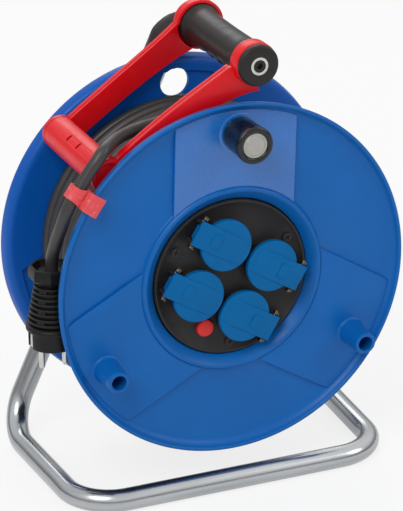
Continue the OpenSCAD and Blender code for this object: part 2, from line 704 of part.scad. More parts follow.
// One hinged lid in its closed place.
module lid(k) {
  color([0.02, 0.38, 0.6]) place() spin(socket_a(k)) translate([socket_ring_r, 0, 0])
    spin(strap_a(k) - socket_a(k)) difference() {
      union() {
        turn_y(0, 0, [[0, lid_y], [lid_r - 0.8, lid_y], [lid_r - 0.2, lid_y + 0.3], [lid_r, lid_y + 1],
          [lid_r, 3], [lid_r - 0.8, 3], [lid_r - 0.8, 1.2], [0, 1.2]]);
        translate([-4, lid_y - 1.4, -10.5]) cube([28.5, 1.5, 21]);
        translate([20.4, lid_y - 1.4, -9]) cube([8.2, 3.2, 18]);
        translate([hinge_x, hinge_y, -5.6]) cylinder(h = 11.2, r = 2.5, $fn = 32);
        translate([hinge_x - 2.5, lid_y, -5.6]) cube([5, hinge_y - lid_y, 11.2]);
      }
      translate([hinge_x, hinge_y, -12]) cylinder(h = 24, r = pin_r + 0.06, $fn = 24);
    }
}
module lid_1() { lid(1); }
module lid_2() { lid(0); }
module lid_3() { lid(2); }
module lid_4() { lid(3); }

module reset_button() {
  color([0.85, 0.1, 0.12]) place() {
    turn_y(-22.4, -38.9, [[0, 5.6], [5.6, 5.6], [6.8, 6.2], [7.2, 7.4], [7.2, 13.2], [0, 13.2]]);
  }
}

base_tube();
tube_cap();
top_clamp();
hub_bracket();
bracket_bolts();
axle();
axle_ring();
front_arm();
rear_arm();
cable_guide();
grip();
end_cap();
cap_washer();
grip_bolt();
cable_clip();
tail_cord();
plug_boot();
plug_body();
plug_pins();
plug_earth();
front_flange();
rear_flange();
barrel();
hub_bush();
flange_screws();
cable_coil();
socket_panel();
socket_well_1();
socket_well_2();
socket_well_3();
socket_well_4();
earth_clips();
hinge_ears();
hinge_pins();
lid_springs();
panel_screws();
crank_pin();
crank_screw();
crank_knob();
knob_badge();
lid_1();
lid_2();
lid_3();
lid_4();
reset_button();
front_rim();
rear_rim();
post_left();
post_right();
drum_web();
front_collar();
panel_top();
panel_left();
panel_right();
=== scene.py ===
"""Looks of an extension cord reel: drum, sockets, carrying handle, stand and stowed plug.

Sizes in the classes are millimetres measured from the drum axis at the front rim
(x to the right, y to the back, z up). ROW moves them to the shared frame in metres.
"""
import json
import logging
import math
from dataclasses import dataclass, field
from enum import Enum
from typing import Any, Callable, Iterable, Sequence

import bmesh
import bpy
from mathutils import Matrix, Vector

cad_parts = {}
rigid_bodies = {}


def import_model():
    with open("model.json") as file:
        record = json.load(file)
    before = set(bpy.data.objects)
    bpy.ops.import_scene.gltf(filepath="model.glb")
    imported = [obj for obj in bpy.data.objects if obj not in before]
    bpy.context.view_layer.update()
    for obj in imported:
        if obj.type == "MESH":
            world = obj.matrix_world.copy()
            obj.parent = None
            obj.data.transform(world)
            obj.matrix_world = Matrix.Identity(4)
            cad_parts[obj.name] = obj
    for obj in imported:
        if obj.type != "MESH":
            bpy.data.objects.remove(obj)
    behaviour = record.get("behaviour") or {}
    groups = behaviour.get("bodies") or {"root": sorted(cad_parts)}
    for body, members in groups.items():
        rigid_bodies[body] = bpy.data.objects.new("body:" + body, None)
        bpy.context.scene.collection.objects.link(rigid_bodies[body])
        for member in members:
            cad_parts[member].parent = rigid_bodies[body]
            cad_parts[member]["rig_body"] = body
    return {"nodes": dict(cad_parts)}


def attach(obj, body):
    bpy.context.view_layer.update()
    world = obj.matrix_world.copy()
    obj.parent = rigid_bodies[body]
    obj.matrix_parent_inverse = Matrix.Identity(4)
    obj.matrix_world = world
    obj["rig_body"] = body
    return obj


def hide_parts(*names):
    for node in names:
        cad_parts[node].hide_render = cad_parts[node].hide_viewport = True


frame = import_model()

LOG = logging.getLogger("cord_reel")
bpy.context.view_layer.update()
MM = 0.001
HUB_HEIGHT = 177.5
MID_DEPTH = 70.5
ROW = Matrix.Scale(MM, 4) @ Matrix.Translation((0.0, -MID_DEPTH, HUB_HEIGHT))
DRUM_MIDDLE = 68.0
CRANK_TURN, CRANK_RING = 87.8, 119.5
STILL = Matrix.Identity(4)
NOISE_LOW, NOISE_HIGH = 0.3, 0.7
WELD = 1e-3
# Sockets of a colour mix and of a number mix: first value, second value, result.
COLOUR_A, COLOUR_B, COLOUR_OUT = 6, 7, 2
NUMBER_A, NUMBER_B, NUMBER_OUT = 2, 3, 0
Point = tuple[float, float]


def linear(hex_colour: str) -> tuple[float, float, float, float]:
    """Turns an sRGB hex colour, a hash and six digits, into linear RGBA."""
    parts = [int(hex_colour[i:i + 2], 16) / 255 for i in (1, 3, 5)]
    return (*[c / 12.92 if c <= 0.04045 else ((c + 0.055) / 1.055) ** 2.4 for c in parts], 1.0)


def per_metre(millimetres: float) -> float:
    """Texture scale that gives a feature of about this size."""
    return 1.0 / (millimetres * MM)


def baked(bm: bmesh.types.BMesh, name: str) -> bpy.types.Mesh:
    """Turns a bmesh that is ready into a mesh.

    Args:
        bm: The bmesh; it is used up.
        name: Name of the mesh.

    Returns:
        The new mesh.
    """
    mesh = bpy.data.meshes.new(name)
    bm.to_mesh(mesh)
    bm.free()
    return mesh


def placed(name: str, data: bpy.types.ID) -> bpy.types.Object:
    """Puts a mesh, a lamp or a camera into the scene.

    Args:
        name: Name of the object.
        data: What it shows.

    Returns:
        The new object.
    """
    obj = bpy.data.objects.new(name, data)
    bpy.context.scene.collection.objects.link(obj)
    return obj


def soften(bm: bmesh.types.BMesh, edges: Iterable[bmesh.types.BMEdge], width: float, segments: int = 2) -> None:
    """Rounds edges of a bmesh by this width."""
    bmesh.ops.bevel(bm, geom=list(edges), offset=width, offset_type="OFFSET", segments=segments, profile=0.5,
                    affect="EDGES", material=-1, clamp_overlap=True)


def cleared(block: bpy.types.Material | bpy.types.World) -> bpy.types.NodeTree:
    """Gives a material or a world an empty node tree.

    Args:
        block: The material or the world.

    Returns:
        Its node tree.
    """
    block.use_nodes = True
    block.node_tree.nodes.clear()
    return block.node_tree


def add(tree: bpy.types.NodeTree, kind: str, inputs: dict[str | int, Any] | None = None,
        **settings: Any) -> bpy.types.Node:
    """Adds a node with its settings and links.

    Args:
        tree: The tree the node goes into.
        kind: Blender's name of the node type.
        inputs: Socket name or number to value, or to the output that feeds it.
        **settings: Attributes of the node itself.

    Returns:
        The new node.
    """
    made = tree.nodes.new(kind)
    for key, value in settings.items():
        setattr(made, key, value)
    for key, value in (inputs or {}).items():
        socket = made.inputs[key]
        if isinstance(value, bpy.types.NodeSocket):
            tree.links.new(value, socket)
        else:
            socket.default_value = value
    return made


class Pattern(Enum):
    """Where a finish reads its pattern from."""

    SOLID = "Object"
    ALONG = "UV"


@dataclass(frozen=True)
class Finish:
    """One real material and how its surface was made.

    A grain noise gives the bump, a slow noise shifts the colour (on the galvanised tube it paints
    reflection streaks), and a third, stretched one makes the gloss uneven, as handling and moulding do.
    """

    name: str
    slot: str
    colour: str
    shade: str
    roughness: float
    grain: float = 0.9
    relief: float = 0.02
    cloud: float = 45.0
    cloud_share: float = 0.5
    gloss_shift: float = 0.08
    metallic: float = 0.0
    ior: float = 1.5
    specular: float = 0.25
    pattern: Pattern = Pattern.SOLID
    stretch: tuple[float, float, float] = (1.0, 1.0, 1.0)

    def build(self) -> bpy.types.Material:
        """Makes the material once and returns it every time after.

        Returns:
            The Blender material.
        """
        ready = bpy.data.materials.get(self.name)
        if ready is not None:
            return ready
        material = bpy.data.materials.new(self.name)
        tree = cleared(material)
        place = add(tree, "ShaderNodeTexCoord").outputs[self.pattern.value]
        place = add(tree, "ShaderNodeMapping", {"Vector": place, "Scale": self.stretch}).outputs["Vector"]
        cloud = add(tree, "ShaderNodeTexNoise", {"Vector": place, "Scale": per_metre(self.cloud), "Detail": 3.0})
        spread = add(tree, "ShaderNodeMapRange", {
            "Value": cloud.outputs["Fac"], "From Min": NOISE_LOW, "From Max": NOISE_HIGH, "To Min": 0.0,
            "To Max": self.cloud_share})
        tint = add(tree, "ShaderNodeMix", {"Factor": spread.outputs["Result"], COLOUR_A: linear(self.colour),
                                           COLOUR_B: linear(self.shade)}, data_type="RGBA")
        rub = add(tree, "ShaderNodeTexNoise", {"Vector": place, "Scale": per_metre(self.cloud / 6), "Detail": 6.0,
                                               "Roughness": 0.65})
        gloss = add(tree, "ShaderNodeMapRange", {
            "Value": rub.outputs["Fac"], "From Min": NOISE_LOW, "From Max": NOISE_HIGH,
            "To Min": self.roughness - self.gloss_shift, "To Max": self.roughness + self.gloss_shift})
        grain = add(tree, "ShaderNodeTexNoise", {"Vector": place, "Scale": per_metre(self.grain), "Detail": 2.0})
        bump = add(tree, "ShaderNodeBump", {"Height": grain.outputs["Fac"], "Strength": 1.0,
                                            "Distance": self.relief * MM})
        shader = add(tree, "ShaderNodeBsdfPrincipled", {
            "Base Color": tint.outputs[COLOUR_OUT], "Roughness": gloss.outputs["Result"],
            "Normal": bump.outputs["Normal"], "Metallic": self.metallic, "IOR": self.ior,
            "Specular IOR Level": self.specular})
        self.extra(tree, place, shader)
        out = add(tree, "ShaderNodeOutputMaterial")
        tree.links.new(shader.outputs["BSDF"], out.inputs["Surface"])
        return material

    def extra(self, tree: bpy.types.NodeTree, place: bpy.types.NodeSocket, shader: bpy.types.Node) -> None:
        """Adds what only some finishes have; the plain ones add nothing."""


@dataclass(frozen=True)
class ScuffedFinish(Finish):
    """A moulding whose face has been rubbed pale in short marks."""

    mark: str = "#F09090"
    mark_size: float = 3.0
    mark_limit: float = 0.62
    mark_fade: float = 0.22

    def extra(self, tree: bpy.types.NodeTree, place: bpy.types.NodeSocket, shader: bpy.types.Node) -> None:
        """Lays pale rub marks over the colour.

        Args:
            tree: The material's node tree.
            place: The coordinates of the pattern.
            shader: The surface shader.
        """
        under = shader.inputs["Base Color"].links[0].from_socket
        worn = add(tree, "ShaderNodeTexNoise", {"Vector": place, "Scale": per_metre(self.mark_size), "Detail": 8.0,
                                                "Roughness": 0.75})
        edge = add(tree, "ShaderNodeMapRange", {"Value": worn.outputs["Fac"], "From Min": self.mark_limit,
                                                "From Max": self.mark_limit + self.mark_fade})
        mixed = add(tree, "ShaderNodeMix", {"Factor": edge.outputs["Result"], COLOUR_A: under,
                                            COLOUR_B: linear(self.mark)}, data_type="RGBA")
        tree.links.new(mixed.outputs[COLOUR_OUT], shader.inputs["Base Color"])


# Injection moulded polypropylene: saturated, half gloss, slightly cloudy where the melt flowed.
BLUE_FLANGE = Finish("blue polypropylene, moulded", "blue_plastic", "#0462B0", "#0458A2", 0.36, cloud=60.0)
# The rear flange is the same blue polypropylene, with the reel's shade painted in as a deeper blue.
BLUE_REAR_PAINTED_SHADE = Finish("blue polypropylene, moulded, painted shade", "blue_plastic", "#0458B4", "#0450A6", 0.36, cloud=60.0)
# The top panel is the same blue, painted a little lighter as a painted sheen, with a stronger specular so that it
# mirrors the floor.
BLUE_PANEL_PAINTED_SHEEN = Finish("blue polypropylene, painted sheen", "blue_plastic", "#0468BC", "#045EAE", 0.27, cloud=60.0,
                       specular=0.95)
# Polycarbonate lids: a greener blue with a smoother face.
LID_BLUE = Finish("lid blue polycarbonate, moulded", "lid_plastic", "#0064A2", "#005A94", 0.4, cloud=25.0,
                  specular=0.12)
# Glass filled polyamide of the carrying frame: strong red, soft gloss.
RED_FRAME = Finish("red polyamide, moulded", "red_plastic", "#E40C18", "#D40814", 0.36, cloud=50.0,
                   specular=0.35)
# The clip is the same red, rubbed pale by the cable that is pushed in and out of it.
RED_CLIP = ScuffedFinish("red polyamide, rubbed", "red_plastic", "#DE4A50", "#D44046", 0.5, cloud=20.0,
                        specular=0.4, mark="#E8908C", mark_size=6.0, mark_limit=0.52)
BUTTON_RED = Finish("red button, moulded", "red_button", "#DE3434", "#C82828", 0.42, cloud=12.0)
# Black ABS of caps and clamps: fine spark-eroded texture that takes the shine off.
BLACK_ABS = Finish("black ABS, spark-eroded", "black_plastic", "#2B2827", "#232020", 0.42, grain=0.7, relief=0.03)
SOCKET_BLACK = Finish("black polyamide, spark-eroded", "socket_plastic", "#2B2A2B", "#222122", 0.5, grain=0.8,
                      relief=0.05)
GRIP_BLACK = Finish("black soft grip, moulded", "grip_plastic", "#2A2626", "#221F1F", 0.38, grain=0.6, relief=0.015)
CABLE_BLACK = Finish("black rubber sheath, extruded", "cable_rubber", "#343232", "#403E3D", 0.4, grain=1.2,
                     relief=0.03, cloud=18.0, specular=0.45, pattern=Pattern.ALONG, stretch=(0.25, 1.0, 1.0))
PLUG_BLACK = Finish("black plug rubber, moulded", "plug_rubber", "#101010", "#171717", 0.42, grain=0.6, relief=0.03,
                    cloud=9.0)
# Hot-dip zinc drawn with the tube: bright; the dark streaks that run along it are painted reflections.
GALVANISED_PAINTED_STREAKS = Finish("galvanised steel tube, drawn, painted streaks", "galvanised_tube", "#CDCFD1", "#8A8E92", 0.22, grain=3.0,
                    relief=0.03, cloud=14.0, cloud_share=0.9, gloss_shift=0.08, metallic=1.0,
                    pattern=Pattern.ALONG, stretch=(0.05, 1.0, 1.0))
# The knob is the same black, polished by the hand that turns it; the blue tint in its colour is a painted reflection
# of the blue flange.
KNOB_BLACK_PAINTED_BLUE_REFLECTION = Finish("black ABS, polished by use", "black_plastic", "#0A0E14", "#0E1218", 0.24, cloud=14.0,
                    specular=0.5)
ZINC = Finish("zinc plated steel", "zinc_steel", "#BFC0C2", "#9A9CA0", 0.3, metallic=1.0, cloud=6.0)
BOLT = Finish("black oxide steel", "bolt_steel", "#3A3A3C", "#2A2A2C", 0.35, metallic=0.8, cloud=4.0)
NICKEL = Finish("nickel plated brass", "contact_nickel", "#D6D4D0", "#B8B6B2", 0.2, metallic=1.0, cloud=5.0)
SPRING = Finish("spring steel wire, oiled", "contact_nickel", "#8C7C68", "#54483C", 0.26, metallic=1.0, cloud=1.2)
EARTH = Finish("tinned brass strip", "earth_brass", "#C8B98A", "#A89868", 0.3, metallic=1.0, cloud=4.0)
BADGE = Finish("satin aluminium, turned", "badge_plastic", "#B4B1AC", "#9C9994", 0.34, metallic=0.6, cloud=3.0)


def along_y(x: float, z: float) -> Matrix:
    """Sets a shape turned about Z upon an axis that runs to the back through x, z."""
    return Matrix.Translation((x, 0.0, z)) @ Matrix.Rotation(math.radians(-90), 4, "X")


def spin_y(degrees: float) -> Matrix:
    """Turns about the drum axis so that +X points at this angle."""
    return Matrix.Rotation(math.radians(-degrees), 4, "Y")


def flip_y(about: float) -> Matrix:
    """Mirrors front to back about the plane y = about."""
    move = Matrix.Translation((0.0, about, 0.0))
    return move @ Matrix.Scale(-1, 4, (0, 1, 0)) @ move.inverted()


def arc(x: float, z: float, radius: float, start: float, end: float, steps: int) -> list[Point]:
    """Points on an arc in the x, z plane.

    Args:
        x: Centre to the right.
        z: Centre upwards.
        radius: Arc radius.
        start: First angle in degrees.
        end: Last angle in degrees.
        steps: How many pieces the arc is cut into.

    Returns:
        The points, both ends included.
    """
    angles = [math.radians(start + (end - start) * i / steps) for i in range(steps + 1)]
    return [(x + radius * math.cos(a), z + radius * math.sin(a)) for a in angles]


def spline(points: Sequence[Vector], cuts: int) -> list[Vector]:
    """Runs a smooth curve through the points.

    Args:
        points: Points the curve passes.
        cuts: Pieces between two points.

    Returns:
        The denser points.
    """
    dense = []
    last = len(points) - 1
    for i in range(last):
        a, b, c, d = (points[max(0, min(last, i + k))] for k in (-1, 0, 1, 2))
        for k in range(cuts):
            t = k / cuts
            dense.append(0.5 * (2 * b + (c - a) * t + (2 * a - 5 * b + 4 * c - d) * t * t
                                + (3 * b - a - 3 * c + d) * t ** 3))
    return dense + [points[last].copy()]


class Piece:
    """A mesh in the making, in millimetres from the drum axis."""

    def __init__(self) -> None:
        """Starts empty."""
        self.bm = bmesh.new()

    def _settle(self, verts: list[bmesh.types.BMVert], matrix: Matrix) -> None:
        """Welds new vertices, turns their faces outwards and moves them into place.

        Args:
            verts: The new vertices.
            matrix: Where they go.
        """
        faces = {f for v in verts for f in v.link_faces}
        bmesh.ops.remove_doubles(self.bm, verts=verts, dist=WELD)
        faces = [f for f in faces if f.is_valid]
        bmesh.ops.transform(self.bm, matrix=matrix, verts=list({v for f in faces for v in f.verts}))
        bmesh.ops.recalc_face_normals(self.bm, faces=faces)

    def turned(self, profile: Sequence[Point], matrix: Matrix, steps: int = 96,
               closed: bool = False) -> "Piece":
        """Turns an outline about Z and moves the result.

        Args:
            profile: Outline as radius and height.
            matrix: Where the turned shape goes.
            steps: Pieces round the axis.
            closed: Whether the outline joins up, as a ring's does.

        Returns:
            This piece.
        """
        line = [self.bm.verts.new((r, 0.0, h)) for r, h in profile]
        edges = [self.bm.edges.new(pair) for pair in zip(line, line[1:])]
        if closed:
            edges.append(self.bm.edges.new((line[-1], line[0])))
        before = set(self.bm.verts) - set(line)
        bmesh.ops.spin(self.bm, geom=line + edges, cent=(0, 0, 0), axis=(0, 0, 1), angle=math.tau, steps=steps,
                       use_merge=True)
        self._settle([v for v in self.bm.verts if v not in before], matrix)
        return self

    def slab(self, outline: Sequence[Point], low: float, high: float, edge: float = 0.0,
             segments: int = 2, matrix: Matrix = STILL) -> "Piece":
        """Thickens an outline drawn in x and z from y = low to y = high.

        Args:
            outline: The outline's points.
            low: Front of the slab.
            high: Back of the slab.
            edge: Radius of the rounded edges, or 0.
            segments: Facets across a rounded edge.
            matrix: Where the slab goes.

        Returns:
            This piece.
        """
        before = set(self.bm.verts)
        face = self.bm.faces.new([self.bm.verts.new((x, low, z)) for x, z in outline])
        grown = bmesh.ops.extrude_face_region(self.bm, geom=[face], use_keep_orig=True)["geom"]
        top = [g for g in grown if isinstance(g, bmesh.types.BMVert)]
        bmesh.ops.translate(self.bm, vec=(0.0, high - low, 0.0), verts=top)
        new = [v for v in self.bm.verts if v not in before]
        if edge > 0:
            edges = {e for v in new for e in v.link_edges}
            caps = [e for e in edges if abs(e.verts[0].co.y - e.verts[1].co.y) < WELD]
            soften(self.bm, caps, edge, segments)
            new = [v for v in self.bm.verts if v not in before]
        self._settle(new, matrix)
        return self

    def block(self, low: Sequence[float], high: Sequence[float], edge: float = 0.0, segments: int = 2,
              matrix: Matrix = STILL) -> "Piece":
        """A box between two corners with rounded edges.

        Args:
            low: Lowest corner.
            high: Highest corner.
            edge: Radius of the rounded edges.
            segments: Facets across a rounded edge.
            matrix: Where the box goes.

        Returns:
            This piece.
        """
        size = Vector(high) - Vector(low)
        centre = (Vector(high) + Vector(low)) / 2
        before = set(self.bm.verts)
        bmesh.ops.create_cube(self.bm, size=1.0, matrix=Matrix.Translation(centre) @ Matrix.Diagonal((*size, 1.0)))
        new = [v for v in self.bm.verts if v not in before]
        if edge > 0:
            soften(self.bm, {e for v in new for e in v.link_edges}, edge, segments)
            new = [v for v in self.bm.verts if v not in before]
        self._settle(new, matrix)
        return self

    def sweep(self, path: Sequence[Vector], radius: float, sides: int = 20) -> "Piece":
        """Draws a round rod along a path, with a UV map in metres along and round it.

        Args:
            path: The centre line's points.
            radius: Radius of the rod.
            sides: Facets round it.

        Returns:
            This piece.
        """
        ways = [(path[min(i + 1, len(path) - 1)] - path[max(i - 1, 0)]).normalized() for i in range(len(path))]
        side = ways[0].orthogonal().normalized()
        frames = []
        for way in ways:
            side = (side - way * side.dot(way)).normalized()
            frames.append((side.copy(), way.cross(side)))
        ring = bmesh.ops.create_circle(self.bm, segments=sides, radius=radius, cap_ends=False)["verts"]
        edges = list({e for v in ring for e in v.link_edges})
        at = dict.fromkeys(ring, 0)
        stands = [Matrix.Translation(p) @ Matrix((u, v, w)).transposed().to_4x4()
                  for p, (u, v), w in zip(path, frames, ways)]
        bmesh.ops.transform(self.bm, matrix=stands[0], verts=ring)
        first, every = list(edges), list(ring)
        for i in range(1, len(path)):
            grown = bmesh.ops.extrude_edge_only(self.bm, edges=edges)["geom"]
            ring = [g for g in grown if isinstance(g, bmesh.types.BMVert)]
            edges = [g for g in grown if isinstance(g, bmesh.types.BMEdge) and all(v in ring for v in g.verts)]
            bmesh.ops.transform(self.bm, matrix=stands[i] @ stands[i - 1].inverted(), verts=ring)
            at.update(dict.fromkeys(ring, i))
            every += ring
        bmesh.ops.holes_fill(self.bm, edges=first, sides=0)
        bmesh.ops.holes_fill(self.bm, edges=edges, sides=0)
        faces = list({f for v in every for f in v.link_faces})
        bmesh.ops.recalc_face_normals(self.bm, faces=faces)
        gone = [0.0]
        for a, b in zip(path, path[1:]):
            gone.append(gone[-1] + (b - a).length)
        layer = self.bm.loops.layers.uv.verify()
        for face in faces:
            turns = []
            for loop in face.loops:
                i = at[loop.vert]
                arm = loop.vert.co - path[i]
                turns.append(math.atan2(arm.dot(frames[i][1]), arm.dot(frames[i][0])))
            for loop, turn in zip(face.loops, turns):
                if max(turns) - turn > math.pi and len(turns) == 4:
                    turn += math.tau
                loop[layer].uv = (gone[at[loop.vert]] * MM, turn * radius * MM)
        return self

    def shift(self, rule: Callable[[Vector], Vector]) -> "Piece":
        """Moves every vertex by a rule.

        Args:
            rule: Gives the new place for the old one.

        Returns:
            This piece.
        """
        for vert in self.bm.verts:
            vert.co = rule(vert.co)
        return self

    def less(self, tool: "Piece") -> "Piece":
        """Takes the space of another piece out of this one.

        Args:
            tool: The piece that is cut away; it is used up.

        Returns:
            This piece.
        """
        pair = [placed("cut", baked(part.bm, "cut")) for part in (self, tool)]
        cut = pair[0].modifiers.new("cut", "BOOLEAN")
        cut.operation, cut.solver, cut.use_self, cut.object = "DIFFERENCE", "EXACT", True, pair[1]
        ready = pair[0].evaluated_get(bpy.context.evaluated_depsgraph_get())
        self.bm = bmesh.new()
        self.bm.from_mesh(ready.to_mesh())
        ready.to_mesh_clear()
        for obj in pair:
            bpy.data.meshes.remove(obj.data)
        return self

    def finish(self, name: str, look: Finish, body: str, replaces: Iterable[str] = (), sharp: float = 35.0
               ) -> bpy.types.Object:
        """Makes the object in the shared frame, dressed and riding on its body.

        Args:
            name: Name of the piece.
            look: Its finish.
            body: The body it moves with.
            replaces: The plain solids that it stands for.
            sharp: Edges over this angle in degrees stay crisp.

        Returns:
            The finished object.
        """
        bmesh.ops.transform(self.bm, matrix=ROW, verts=self.bm.verts)
        return dress(placed(name, baked(self.bm, name)), look, body, replaces, sharp)


def dress(obj: bpy.types.Object, look: Finish, body: str, replaces: Iterable[str], sharp: float) -> bpy.types.Object:
    """Shades a new object, gives it its finish and hangs it on its body.

    Args:
        obj: The new object.
        look: Its finish.
        body: The body it moves with.
        replaces: The plain solids that it stands for.
        sharp: Edges over this angle in degrees stay crisp.

    Returns:
        The same object.
    """
    obj.data.materials.clear()
    obj.data.materials.append(look.build())
    obj.data.shade_smooth()
    obj.data.set_sharp_from_angle(angle=math.radians(sharp))
    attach(obj, body)
    if replaces:
        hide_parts(*replaces)
    LOG.info("%s: %d faces, %s", obj.name, len(obj.data.polygons), look.name)
    return obj


def merged(nodes: str | Sequence[str], name: str, look: Finish, sharp: float = 28.0, edge: float = 0.0,
           rule: Callable[[Vector], Vector] | None = None) -> bpy.types.Object:
    """Stands one welded, smoothly shaded copy in for plain solids.

    Args:
        nodes: The solid's name, or the names of solids that one moulding is made of.
        name: Name of the new piece.
        look: Its finish.
        sharp: Edges over this angle in degrees stay crisp.
        edge: Width in millimetres of the softened edges, or 0.
        rule: Moves every vertex, in millimetres from the drum axis.

    Returns:
        The new object.
    """
    nodes = [nodes] if isinstance(nodes, str) else list(nodes)
    bm = bmesh.new()
    for node in nodes:
        bm.from_mesh(frame["nodes"][node].data)
    bmesh.ops.remove_doubles(bm, verts=bm.verts, dist=2e-6)
    if edge > 0:
        flat, hard = math.radians(0.3), math.radians(35)
        bmesh.ops.dissolve_limit(bm, angle_limit=flat, verts=bm.verts, edges=bm.edges)
        soften(bm, [e for e in bm.edges if len(e.link_faces) == 2 and e.calc_face_angle(0.0) > hard], edge * MM)
    for vert in bm.verts if rule else ():
        vert.co = ROW @ rule(ROW.inverted() @ vert.co)
    return dress(placed(name, baked(bm, name)), look, frame["nodes"][nodes[0]]["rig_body"], nodes, sharp)


def keep(look: Finish, *nodes: str) -> None:
    """Gives solids that keep their shape their finish.

    Args:
        look: The finish.
        *nodes: Names of the solids.
    """
    for node in nodes:
        obj = frame["nodes"][node]
        obj.data.materials.clear()
        obj.data.materials.append(look.build())
        LOG.info("%s: kept, %s", node, look.name)


@dataclass
class Stand:
    """Bent tube stand with its closing cap, cross bracket, axle and top clamp."""

    tube_radius: float = 9.0
    foot: float = -168.5
    front: Point = (130.0, -4.5)
    heel: Point = (138.0, 152.0)
    front_bend: float = 38.0
    rear_bend: float = 34.0
    lean: float = 0.4557
    top_left: float = 156.0
    top_right: float = 60.0
    bend_cuts: int = 16
    longest: float = 12.0

    def route(self) -> list[Vector]:
        """Works out the tube's centre line from its corners.

        Returns:
            The points, from the long upright to the short one.
        """
        def up(x: float, side: int, z: float) -> Vector:
            """Finds the upright at a height, leaning to this side from x at the foot."""
            return Vector((x + side * self.lean * (z - self.foot), self.heel[1], z))

        corners = [(up(-self.heel[0], 1, self.top_left), 0.0),
                   (Vector((-self.heel[0], self.heel[1], self.foot)), self.rear_bend),
                   (Vector((-self.front[0], self.front[1], self.foot)), self.front_bend),
                   (Vector((self.front[0], self.front[1], self.foot)), self.front_bend),
                   (Vector((self.heel[0], self.heel[1], self.foot)), self.rear_bend),
                   (up(self.heel[0], -1, self.top_right), 0.0)]
        path = [corners[0][0]]
        for i in range(1, len(corners) - 1):
            before, (here, bend), after = corners[i - 1][0], corners[i], corners[i + 1][0]
            u, v = (here - before).normalized(), (after - here).normalized()
            turn = u.angle(v)
            start = here - u * bend * math.tan(turn / 2)
            inward = (v - u * v.dot(u)).normalized()
            centre = start + inward * bend
            for k in range(self.bend_cuts + 1):
                a = turn * k / self.bend_cuts
                path.append(centre - inward * bend * math.cos(a) + u * bend * math.sin(a))
        path.append(corners[-1][0])
        filled = []
        for a, b in zip(path, path[1:]):
            cuts = max(1, round((b - a).length / self.longest))
            filled += [a.lerp(b, k / cuts) for k in range(cuts)]
        return filled + [path[-1]]

    def build(self) -> None:
        """Builds and dresses the stand."""
        Piece().sweep(self.route(), self.tube_radius, 32).finish("stand_tube", GALVANISED_PAINTED_STREAKS, "frame", ["base_tube"])
        merged("top_clamp", "upright_clamp", BLACK_ABS, sharp=40.0)
        merged("tube_cap", "upright_cap", BLACK_ABS, edge=0.8)
        merged("hub_bracket", "cross_bracket", ZINC, edge=0.5)
        keep(ZINC, "bracket_bolts", "axle", "axle_ring")


